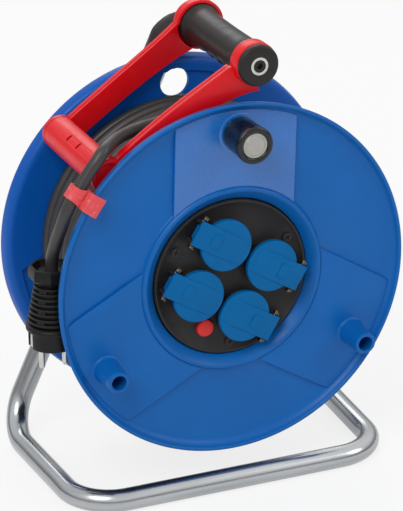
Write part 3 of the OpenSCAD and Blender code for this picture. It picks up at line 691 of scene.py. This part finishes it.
@dataclass
class CarryFrame:
    """Two red arms, the slotted cross piece and the grip between them."""

    head: Point = (19.6, 172.0)
    head_radius: float = 17.0
    rear_ring: float = 20.2
    elbow: Point = (-98.0, 96.5)
    elbow_radius: float = 14.0
    waist: float = 8.9
    end: Point = (-117.6, -79.5)
    front_line: tuple[Point, Point] = ((0.0, -8.5), (-56.4, -29.0))
    rear_line: tuple[Point, Point] = ((0.0, 0.0), (-56.4, -33.0))
    flare: Point = (0.3, 0.62)
    blade_cuts: int = 48
    rib_span: tuple[int, int] = (30, 102)
    rib_pitch: float = 18.0
    rib_height: float = 1.5

    def blade(self, rear: bool, side: int, inset: float) -> list[Point]:
        """Follows one long edge of an arm from its head to its elbow.

        Args:
            rear: Whether it is the rear arm.
            side: 1 for the upper edge, -1 for the lower one.
            inset: How far the edge is drawn in, for the groove.

        Returns:
            The points that lie outside the head and the elbow.
        """
        a, b = (Vector(p) for p in (self.rear_line if rear else self.front_line))
        c, head, elbow = Vector(self.end), Vector(self.head), Vector(self.elbow)
        ring = self.rear_ring if rear else self.head_radius
        points = []
        for i in range(self.blade_cuts + 1):
            t = i / self.blade_cuts
            way = ((b - a) * (1 - t) + (c - b) * t).normalized()
            flare = self.flare[0] * (1 - t) ** 3 + self.flare[1] * (1 - t) ** 6
            half = self.waist + (self.head_radius - self.waist) * flare - inset
            here = head + a * (1 - t) ** 2 + b * 2 * t * (1 - t) + c * t * t + side * half * Vector((way.y, -way.x))
            if (here - head).length > ring - inset and (here - elbow).length > self.elbow_radius - inset:
                points.append((here.x, here.y))
        return points

    def outline(self, rear: bool, inset: float, whole: bool) -> list[Point]:
        """Draws an arm from the side.

        Args:
            rear: Whether it is the rear arm.
            inset: How far the outline is drawn in, for the groove.
            whole: Whether the round head belongs to it, or is cut away.

        Returns:
            The outline's points, anticlockwise.
        """
        def angle(point: Point, centre: Point) -> float:
            """Finds the direction of a point from a centre in degrees."""
            return math.degrees(math.atan2(point[1] - centre[1], point[0] - centre[0]))

        upper, lower = self.blade(rear, 1, inset), self.blade(rear, -1, inset)
        ring = (self.rear_ring if rear else self.head_radius) - inset
        start, stop = angle(lower[0], self.head), angle(upper[0], self.head)
        if whole:
            head = arc(*self.head, ring, start, stop % 360, 40)
        else:
            upper, lower = ([p for p in line if math.dist(p, self.head) > self.head_radius + 1.2]
                            for line in (upper, lower))
            start, stop = angle(lower[0], self.head) % 360, angle(upper[0], self.head) % 360
            head = arc(*self.head, self.head_radius + 0.8, start, stop, 12)
        bow = arc(*self.elbow, self.elbow_radius - inset, angle(upper[-1], self.elbow),
                  angle(lower[-1], self.elbow) % 360, 36)
        return head + upper + bow + lower[::-1]

    def arm(self, rear: bool) -> Piece:
        """Models one arm with the groove along its edge and its round head.

        Args:
            rear: Whether it is the rear arm, which mirrors the front one.

        Returns:
            The unfinished piece.
        """
        side = flip_y(DRUM_MIDDLE) if rear else STILL
        piece = Piece()
        piece.slab(self.outline(rear, 0.0, True), 14.0, 17.9, 0.9, 3, side)
        piece.slab(self.outline(rear, 1.3, False), 17.8, 19.2, 0.0, 1, side)
        piece.slab(self.outline(rear, 0.0, False), 19.1, 22.0, 0.7, 3, side)
        piece.turned([(4.2, 6.0), (15.6, 6.0), (16.6, 6.5), (17.0, 7.6), (17.0, 16.0), (16.6, 17.6), (16.0, 18.0),
                      (4.2, 18.0)], side @ along_y(*self.head), closed=True)
        if rear:
            piece.turned([(17.6, 17.5), (20.2, 17.5), (20.2, 21.1), (19.9, 21.8), (19.3, 22.0), (17.9, 22.0),
                          (17.6, 21.7)], side @ along_y(*self.head), closed=True)
        piece.turned([(9.6, 14.4), (10.0, 13.4), (10.6, 13.1), (12.2, 13.1), (12.9, 13.5), (13.2, 14.4)],
                     side @ along_y(*self.elbow), steps=64)
        return piece

    def grip(self) -> Piece:
        """Models the hand grip with its flared collar and finger ribs.

        Returns:
            The unfinished piece.
        """
        x, z = self.head
        low, high = self.rib_span
        profile = [(4.5, 18.0), (15.4, 18.0), (15.9, 18.6), (16.0, 19.4), (15.9, 21.6), (15.3, 23.0), (14.7, 27.0)]
        profile += [(14.1 + 0.4 * abs(y - 62) / 40, float(y)) for y in range(low, high + 1, 2)]
        profile += [(14.7, 104.0), (15.2, 108.0), (16.4, 110.4), (17.1, 112.0), (17.2, 113.0), (17.2, 116.4),
                    (16.9, 117.4), (16.2, 118.0), (4.5, 118.0)]
        piece = Piece().turned(profile, along_y(x, z), steps=96, closed=True)

        def ribs(co: Vector) -> Vector:
            """Raises the finger ribs on the underside.

            Args:
                co: A place on the plain grip.

            Returns:
                The place on the ribbed one.
            """
            arm = Vector((co.x - x, 0.0, co.z - z))
            if arm.length < 10 or not low <= co.y <= high:
                return co
            angle = math.degrees(math.atan2(arm.z, arm.x))
            under = max(0.0, 1 - abs((angle + 100 + 180) % 360 - 180) / 62)
            wave = 0.5 - 0.5 * math.cos(math.tau * (co.y - low) / self.rib_pitch)
            lift = self.rib_height * wave * min(1.0, under * 1.6)
            return co + arm.normalized() * lift

        return piece.shift(ribs)

    def build(self) -> None:
        """Builds and dresses the handle."""
        self.arm(False).finish("arm_front", RED_FRAME, "frame", ["front_arm"])
        self.arm(True).finish("arm_rear", RED_FRAME, "frame", ["rear_arm"])
        merged("cable_guide", "cross_piece", RED_FRAME, sharp=30.0)
        self.grip().finish("hand_grip", GRIP_BLACK, "frame", ["grip"])
        merged("end_cap", "grip_end_cap", BLACK_ABS, edge=0.3)
        keep(NICKEL, "cap_washer")
        keep(BOLT, "grip_bolt")


@dataclass
class Drum:
    """The two flanges, the barrel and the cable wound on it."""

    layers: int = 5
    turns: int = 11
    strand: float = 5.0
    wander: float = 0.7
    sag: float = 0.5
    barrel: float = 68.1
    coil: float = 115.0
    low: float = 11.3
    high: float = 124.7
    panel_half: float = 50.5
    panel_ends: Point = (75.9, 138.3)
    panel_faces: Point = (5.0, 8.3)
    window_wall: float = 3.0
    window_ends: Point = (79.0, 132.4)
    pattern: float = -1.3
    thirds: Sequence[float] = (90.0, 210.0, 330.0)
    post_ring: float = 121.0
    hole_ring: float = 122.5
    hole: float = 12.3
    crank: Point = (CRANK_TURN, CRANK_RING)

    def panel(self, piece: Piece, third: float, lie: Matrix = STILL) -> Piece:
        """Adds one raised panel.

        Args:
            piece: The piece that gets it.
            third: Its angle before the pattern's turn.
            lie: Where the flange goes.

        Returns:
            The same piece.
        """
        return piece.slab(self.strip(self.panel_half, *self.panel_ends), *self.panel_faces, 0.8, 3,
                          lie @ spin_y(third + self.pattern))

    @staticmethod
    def strip(half: float, inner: float, outer: float) -> list[Point]:
        """Outlines a strip of a ring: half its width, and the radii of its ends."""
        a, b = math.degrees(math.asin(half / outer)), math.degrees(math.asin(half / inner))
        return arc(0.0, 0.0, outer, -a, a, 28) + arc(0.0, 0.0, inner, b, -b, 36)

    def dish(self, middle: Sequence[Point], lie: Matrix = STILL) -> Piece:
        """Models what both flanges share: rolled rim, smooth dish, bead, three windows and two raised panels.

        Args:
            middle: The rest of the outline, inside the bead.
            lie: Where the flange goes.

        Returns:
            The unfinished piece.
        """
        lip = [(136.4, 11.0), (138.6, 11.0), (141.0, 10.4), (142.6, 9.4), (143.6, 7.4), (144.9, 1.7), (144.9, 1.0),
               (144.5, 0.4), (143.9, 0.08), (143.2, 0.0), (142.7, 0.12), (142.2, 0.5)]
        slope = [Vector((r, y, 0.0)) for r, y in (
            (141.9, 1.0), (140.9, 2.9), (139.2, 4.8), (136.6, 6.3), (133.0, 7.3), (129.0, 7.8), (125.0, 8.0))]
        bead = [(77.6, 8.0), (77.0, 7.7), (76.5, 6.7), (75.9, 5.2), (75.2, 4.2), (74.3, 3.6), (73.4, 3.45),
                (72.6, 3.65), (71.9, 4.3)]
        line = lip + [(p.x, p.y) for p in spline(slope, 4)] + bead + list(middle)
        windows = Piece()
        for third in self.thirds:
            windows.slab(self.strip(self.panel_half - self.window_wall, *self.window_ends), 7.0, 12.0,
                         matrix=lie @ spin_y(third + self.pattern))
        piece = Piece().turned(line, lie @ along_y(0.0, 0.0), 192, closed=True).less(windows)
        for third in self.thirds[1:]:
            self.panel(piece, third, lie)
        return piece

    def front(self) -> Piece:
        """Models the front flange but for its top panel: the dish and two posts.

        Returns:
            The unfinished piece.
        """
        piece = self.dish([(65.4, 9.9), (65.2, 10.3), (65.2, 11.0)])
        profile = [(6.0, -22.0), (7.9, -22.0), (8.5, -21.8), (8.8, -21.2), (9.1, -16.0), (10.1, 3.2), (10.4, 4.0),
                   (11.0, 4.6), (12.0, 5.0), (12.0, 5.6), (0.0, 5.6), (0.0, 1.98), (5.7, 1.98), (6.0, 1.7)]
        for third in self.thirds[1:]:
            piece.turned(profile, spin_y(third + self.pattern) @ along_y(self.post_ring, 0.0), 64, closed=True)
        return piece

    def top(self) -> Piece:
        """Models the top panel with the crank seat on it.

        Returns:
            The unfinished piece.
        """
        turn, ring = self.crank
        return self.panel(Piece(), self.thirds[0]).turned(
            [(5.0, 10.9), (5.0, 4.4), (14.4, 4.45), (15.6, 4.6), (16.6, 5.1), (16.6, 6.0)],
            spin_y(turn) @ along_y(ring, 0.0), 64)

    def rear(self) -> Piece:
        """Models the rear flange: the dish turned round, closed to the hub, with three round holes.

        Returns:
            The unfinished piece.
        """
        lie = flip_y(DRUM_MIDDLE)
        piece = self.panel(self.dish([(68.4, 7.6), (67.6, 8.0), (16.1, 8.0), (16.1, 11.0)], lie), self.thirds[0], lie)
        holes = Piece()
        for third in self.thirds:
            holes.turned([(0.0, -4.0), (self.hole, -4.0), (self.hole, 16.0), (0.0, 16.0)],
                         lie @ spin_y(third + self.pattern) @ along_y(self.hole_ring, 0.0), 72)
        return piece.less(holes)

    def windings(self) -> Piece:
        """Winds the cable: rings side by side, the top layer a little loose.

        Returns:
            The unfinished piece.
        """
        piece = Piece()
        step = (self.high - self.low - 2 * self.strand) / (self.turns - 1)
        rise = (self.coil - self.barrel - 2 * self.strand) / (self.layers - 1)
        for layer in range(self.layers):
            radius = self.barrel + self.strand + layer * rise
            top = layer == self.layers - 1
            steps = 120 if top else 48
            for turn in range(self.turns):
                y = self.low + self.strand + turn * step
                loose = self.wander if top and 0 < turn < self.turns - 1 else 0.0
                path = []
                for k in range(steps + 1):
                    a = math.tau * k / steps
                    r = radius - (self.sag * (1 + math.sin(3 * a + 2.1 * turn)) if top else 0.0)
                    path.append(Vector((r * math.cos(a), y + loose * math.sin(2 * a + 1.7 * turn), r * math.sin(a))))
                piece.sweep(path, self.strand, 14 if top else 8)
        return piece

    def build(self) -> None:
        """Builds and dresses the drum."""
        self.front().finish("flange_front", BLUE_FLANGE, "drum", [
            "front_flange", "front_rim", "post_left", "post_right", "front_collar", "panel_left", "panel_right",
        ], 40.0)
        self.top().finish("flange_panel", BLUE_PANEL_PAINTED_SHEEN, "drum", ["panel_top"], 40.0)
        self.rear().finish("flange_rear", BLUE_REAR_PAINTED_SHADE, "drum", ["rear_flange", "rear_rim"], sharp=40.0)
        self.windings().finish("cable_windings", CABLE_BLACK, "drum", ["cable_coil"], sharp=60.0)
        keep(BLUE_FLANGE, "barrel", "drum_web")
        keep(BLACK_ABS, "hub_bush")
        keep(ZINC, "flange_screws")


@dataclass
class SocketPlate:
    """The black panel with four sockets under hinged lids, and the reset button."""

    ring: float = 32.0
    first: float = 14.1
    strap: Point = (-30.9, 149.1)
    order: Sequence[int] = (1, 0, 2, 3)
    lid_radius: float = 21.0
    face: float = -1.6
    hinge: Point = (26.0, 4.2)
    coil: float = 2.2
    coil_turns: float = 2.6
    wire: float = 0.5

    def seat(self, k: int) -> Matrix:
        """Finds the place of a socket, with +X towards its hinge."""
        turn, strap = self.first + 90 * k, self.strap[0 if k in (0, 3) else 1]
        return spin_y(turn) @ Matrix.Translation((self.ring, 0.0, 0.0)) @ spin_y(strap - turn)

    def cover(self, k: int) -> Piece:
        """Models a lid: round cap, strap over it, raised plate and hinge knuckle.

        Args:
            k: Which quarter of the panel it is on.

        Returns:
            The unfinished piece.
        """
        top, (hx, hy) = self.face, self.hinge
        piece = Piece().block((-16.6, top - 1.35, -10.4), (27.6, top + 0.5, 10.4), 0.45, 3)
        piece.shift(lambda co: Vector((co.x, co.y + (1.0 if co.x < 0 and co.y < top else 0.0), co.z)))
        r = self.lid_radius
        piece.turned([(0.0, top), (r - 1.5, top), (r - 0.7, top + 0.15), (r - 0.15, top + 0.6), (r, top + 1.2),
                      (r, 2.8), (r - 0.2, 3.0), (r - 0.8, 3.0), (r - 0.8, 1.2), (0.0, 1.2)], along_y(0.0, 0.0))
        piece.block((6.5, top - 1.55, -5.6), (15.0, top - 0.6, 5.6), 0.2, 2)
        lie = Matrix.Translation((27.1, top + 0.75, -10.4))
        piece.turned([(0.0, 0.0), (1.7, 0.0), (2.05, 0.35), (2.05, 20.45), (1.7, 20.8), (0.0, 20.8)], lie, 32)
        piece.turned([(1.06, -5.6), (2.5, -5.6), (2.5, 5.6), (1.06, 5.6)], Matrix.Translation((hx, hy, 0.0)), 32,
                     closed=True)
        piece.block((hx - 2.5, top, -5.6), (hx + 2.5, hy - 1.2, 5.6), 0.3)
        seat = self.seat(k)
        return piece.shift(lambda co: seat @ co)

    def springs(self) -> Piece:
        """Coils the sprung wires at both ends of each hinge.

        Returns:
            The unfinished piece.
        """
        piece = Piece()
        x, y, cuts = self.hinge[0], self.hinge[1] - self.coil, 40
        for k in range(4):
            seat = self.seat(k)
            for side in (-1, 1):
                path = []
                for i in range(cuts + 1):
                    a = math.tau * self.coil_turns * i / cuts + 0.6
                    path.append(Vector((x + self.coil * math.cos(a), y + self.coil * math.sin(a),
                                        side * (11.1 + 2.6 * i / cuts))))
                path += [path[-1] + Vector((-1.0, 2.6, 0.0)), path[-1] + Vector((-1.2, 5.2, 0.0))]
                path.insert(0, path[0] + Vector((-3.4, -1.2, 0.0)))
                piece.sweep([seat @ p for p in path], self.wire, 8)
        return piece

    def build(self) -> None:
        """Builds and dresses the panel."""
        merged("socket_panel", "panel", SOCKET_BLACK, sharp=30.0)
        keep(SOCKET_BLACK, *[f"socket_well_{k}" for k in range(1, 5)], "hinge_ears")
        for number, k in enumerate(self.order, 1):
            self.cover(k).finish(f"cover_{number}", LID_BLUE, frame["nodes"][f"lid_{number}"]["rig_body"],
                                 [f"lid_{number}"], sharp=30.0)
        self.springs().finish("hinge_springs", SPRING, "drum", ["lid_springs"], sharp=60.0)
        keep(EARTH, "earth_clips")
        keep(NICKEL, "hinge_pins")
        keep(BLACK_ABS, "panel_screws")
        merged("reset_button", "button", BUTTON_RED, sharp=30.0)


@dataclass
class CrankKnob:
    """The knob that winds the drum, with its bare metal disc."""

    angle: float = CRANK_TURN
    ring: float = CRANK_RING

    def build(self) -> None:
        """Builds and dresses the knob."""
        x = self.ring * math.cos(math.radians(self.angle))
        z = self.ring * math.sin(math.radians(self.angle))
        profile = [(5.05, 3.0), (13.4, 3.2), (14.0, 2.6), (14.1, 1.6), (14.1, -8.0), (14.3, -14.0), (14.7, -20.0),
                   (14.8, -21.4), (14.8, -23.9), (14.5, -25.1), (13.8, -25.8), (12.9, -26.0), (11.6, -26.0),
                   (10.8, -25.8), (10.3, -25.3), (10.1, -24.7), (9.0, -24.7), (0.0, -24.7), (0.0, -22.6),
                   (7.15, -22.5), (7.15, -18.65), (5.05, -18.55)]
        Piece().turned(profile, along_y(x, z), closed=True).finish("knob", KNOB_BLACK_PAINTED_BLUE_REFLECTION, "crank", ["crank_knob"])
        Piece().turned([(0.0, -25.05), (7.6, -25.05), (7.8, -24.85), (8.1, -24.85), (8.3, -25.25), (9.6, -25.3),
                        (9.85, -25.0), (9.85, -24.75), (0.0, -24.75)], along_y(x, z)
                       ).finish("knob_disc", BADGE, "crank", ["knob_badge"])
        keep(BLUE_FLANGE, "crank_pin")
        keep(ZINC, "crank_screw")


@dataclass
class LooseEnd:
    """The stowed end of the cable: over the cross piece, through the clip, down to the plug."""

    radius: float = 5.0
    route: Sequence[tuple[float, float, float]] = (
        (0, 69, 121), (-20, 63, 120), (-39, 58, 117.5), (-58, 51, 117.5), (-73, 42, 118), (-88, 28, 119.5),
        (-101, 14, 119), (-108.5, 10, 113), (-115.5, 10, 104), (-121.5, 10, 95), (-126.5, 10, 88), (-131, 10, 81),
        (-134.5, 11.5, 72.5), (-136.5, 16, 61), (-138.5, 24, 45), (-139, 31, 31), (-139, 33, 20), (-139, 33, 11))
    plug: Point = (-139.0, 33.0)
    clip: float = 145.1
    clip_start: float = 147.0
    clip_run: float = 9.0
    clip_share: float = 0.94
    clip_loss: float = 0.3
    ribs: int = 8
    rib_pitch: float = 4.0
    rib_growth: float = 0.75

    def boot(self) -> Piece:
        """Models the plug's finger collar and its anti-kink ribs.

        Returns:
            The unfinished piece.
        """
        stand = Matrix.Translation((*self.plug, 0.0))
        piece = Piece()
        collar = [(12.6, 9.3), (13.8, 11.8), (16.4, 13.0), (18.0, 15.2), (18.0, 21.6), (17.2, 23.6), (15.8, 24.4),
                  (14.6, 23.8), (13.6, 21.0), (12.0, 19.4), (5.4, 18.8), (5.4, 9.3)]
        piece.turned(collar, stand @ Matrix.Rotation(math.radians(22.5), 4, "Z"), steps=8, closed=True)
        core = [(5.4, 9.6), (11.6, 9.6), (17.0, -23.0), (0.0, -23.0), (0.0, 6.0), (5.4, 6.0)]
        piece.turned(core, stand, steps=48, closed=True)
        for i in range(self.ribs):
            r, top = 14.2 + i * self.rib_growth, 9.0 - i * self.rib_pitch
            piece.turned([(r - 3.4, top), (r - 0.7, top - 0.1), (r, top - 0.7), (r, top - 1.7), (r - 0.7, top - 2.5),
                          (r - 3.4, top - 2.7)], stand, steps=64)
            for k in range(2):
                turn = 90 * (i % 2) + 180 * k + 40
                piece.block((r - 3.2, -3.4, top - 4.2), (r - 0.2, 3.4, top - 1.5), 0.5, 2,
                            stand @ Matrix.Rotation(math.radians(turn), 4, "Z"))
        piece.turned([(12.0, -22.6), (19.6, -22.7), (20.4, -23.1), (20.4, -24.0), (12.0, -24.0)], stand, steps=64)
        return piece

    def taper(self, co: Vector) -> Vector:
        """Narrows the clip towards the loop that holds the cable.

        Args:
            co: A place on the plain clip.

        Returns:
            The place on the narrowed one.
        """
        lie = spin_y(self.clip)
        local = lie.inverted() @ co
        along = max(0.0, min(1.0, (local.x - self.clip_start) / self.clip_run))
        local.z *= self.clip_share - self.clip_loss * along
        return lie @ local

    def build(self) -> None:
        path = spline([Vector(p) for p in self.route], 8)
        cable = Piece().sweep(path, self.radius, 24).finish("loose_cable", CABLE_BLACK, "frame", ["tail_cord"], 60.0)
        boot = self.boot().finish("plug_sleeve", PLUG_BLACK, "frame", ["plug_boot"], sharp=32.0)
        body = merged("plug_body", "plug_housing", PLUG_BLACK, sharp=30.0, edge=0.4)
        keep(NICKEL, "plug_pins", "plug_earth")
        merged("cable_clip", "rim_clip", RED_CLIP, sharp=30.0, edge=0.5, rule=self.taper)


@dataclass
class Studio:
    """White floor, soft boxes and the camera."""

    azimuth: float = -23.29
    elevation: float = 22.65
    distance: float = 2.0649
    target: tuple[float, float, float] = (-0.00062, -0.0055, 0.1742)
    lens: float = 182.6
    horizon: float = 0.25
    floor_gloss: float = 0.5
    floor_white: float = 0.8
    ambient: float = 0.55
    boxes: Sequence[tuple[tuple[float, float, float], float, float]] = field(default_factory=lambda: (
        ((-1.3, -1.2, 1.9), 1.3, 24.0), ((1.6, -1.3, 1.3), 1.2, 7.0), ((0.3, 1.5, 1.6), 1.2, 9.0)))

    def camera(self) -> None:
        """Sets the camera at the working view."""
        az, el = math.radians(self.azimuth), math.radians(self.elevation)
        back = Vector((math.sin(az) * math.cos(el), -math.cos(az) * math.cos(el), math.sin(el)))
        data = bpy.data.cameras.new("camera")
        data.lens, data.sensor_width, data.clip_end = self.lens, 36.0, 50.0
        cam = placed("camera", data)
        cam.location = Vector(self.target) + back * self.distance
        cam.rotation_euler = back.to_track_quat("Z", "Y").to_euler()
        bpy.context.scene.camera = cam

    def lights(self) -> None:
        """Hangs the soft boxes and lights the world evenly."""
        for i, (spot, size, power) in enumerate(self.boxes):
            data = bpy.data.lights.new(f"soft_box_{i}", "AREA")
            data.shape, data.size, data.energy = "DISK", size, power
            lamp = placed(data.name, data)
            lamp.location = spot
            lamp.rotation_euler = (Vector(spot) - Vector(self.target)).to_track_quat("Z", "Y").to_euler()
        world = bpy.data.worlds.new("studio")
        bpy.context.scene.world = world
        tree = cleared(world)
        path = add(tree, "ShaderNodeLightPath")
        seen = add(tree, "ShaderNodeMath", {0: path.outputs["Is Camera Ray"], 1: path.outputs["Is Transmission Ray"]},
                   operation="MAXIMUM")
        way = add(tree, "ShaderNodeSeparateXYZ", {"Vector": add(tree, "ShaderNodeTexCoord").outputs["Generated"]})
        band = add(tree, "ShaderNodeMapRange", {
            "Value": way.outputs["Z"], "From Min": 0.05, "From Max": 0.5, "To Min": self.horizon, "To Max": 1.0},
            interpolation_type="SMOOTHSTEP")
        gloss = add(tree, "ShaderNodeMix", {"Factor": path.outputs["Is Glossy Ray"], NUMBER_A: self.ambient,
                                            NUMBER_B: band.outputs["Result"]})
        level = add(tree, "ShaderNodeMix", {"Factor": seen.outputs[0], NUMBER_A: gloss.outputs[NUMBER_OUT],
                                            NUMBER_B: 1.0})
        back = add(tree, "ShaderNodeBackground", {"Color": (1, 1, 1, 1), "Strength": level.outputs[NUMBER_OUT]})
        out = add(tree, "ShaderNodeOutputWorld")
        tree.links.new(back.outputs[0], out.inputs["Surface"])

    def floor(self) -> None:
        """Lays the floor: white to the eye, with a faint shadow under the reel."""
        bm = bmesh.new()
        bmesh.ops.create_grid(bm, x_segments=1, y_segments=1, size=6.0)
        ground = placed("floor", baked(bm, "floor"))
        material = bpy.data.materials.new("white paper sweep")
        tree = cleared(material)
        place = add(tree, "ShaderNodeTexCoord").outputs["Object"]
        tooth = add(tree, "ShaderNodeTexNoise", {"Vector": place, "Scale": per_metre(4.0), "Detail": 4.0})
        bump = add(tree, "ShaderNodeBump", {"Height": tooth.outputs["Fac"], "Distance": 0.00002})
        paper = add(tree, "ShaderNodeBsdfDiffuse", {"Color": (0.86, 0.86, 0.86, 1), "Normal": bump.outputs["Normal"]})
        white = add(tree, "ShaderNodeEmission", {"Color": (1, 1, 1, 1), "Strength": 1.0})
        path = add(tree, "ShaderNodeLightPath")
        seen = add(tree, "ShaderNodeMath", {0: path.outputs["Is Camera Ray"], 1: path.outputs["Is Transmission Ray"]},
                   operation="MAXIMUM")
        part = add(tree, "ShaderNodeMath", {0: path.outputs["Is Glossy Ray"], 1: self.floor_gloss},
                   operation="MULTIPLY")
        share = add(tree, "ShaderNodeMath", {0: seen.outputs[0], 1: self.floor_white}, operation="MULTIPLY")
        share = add(tree, "ShaderNodeMath", {0: share.outputs[0], 1: part.outputs[0]}, operation="MAXIMUM")
        both = add(tree, "ShaderNodeMixShader", {0: share.outputs[0], 1: paper.outputs[0], 2: white.outputs[0]})
        out = add(tree, "ShaderNodeOutputMaterial")
        tree.links.new(both.outputs[0], out.inputs["Surface"])
        ground.data.materials.append(material)

    def build(self) -> None:
        """Sets up camera, lights and floor."""
        bpy.context.scene.view_settings.view_transform = "Standard"
        self.camera()
        self.lights()
        self.floor()


def main() -> None:
    """Builds every part of the reel in order."""
    logging.basicConfig(level=logging.INFO, format="%(message)s")
    for part in (Studio(), LooseEnd(), Stand(), CarryFrame(), Drum(), SocketPlate(), CrankKnob()):
        LOG.info("building %s", type(part).__name__)
        part.build()


if __name__ == "__main__":
    main()
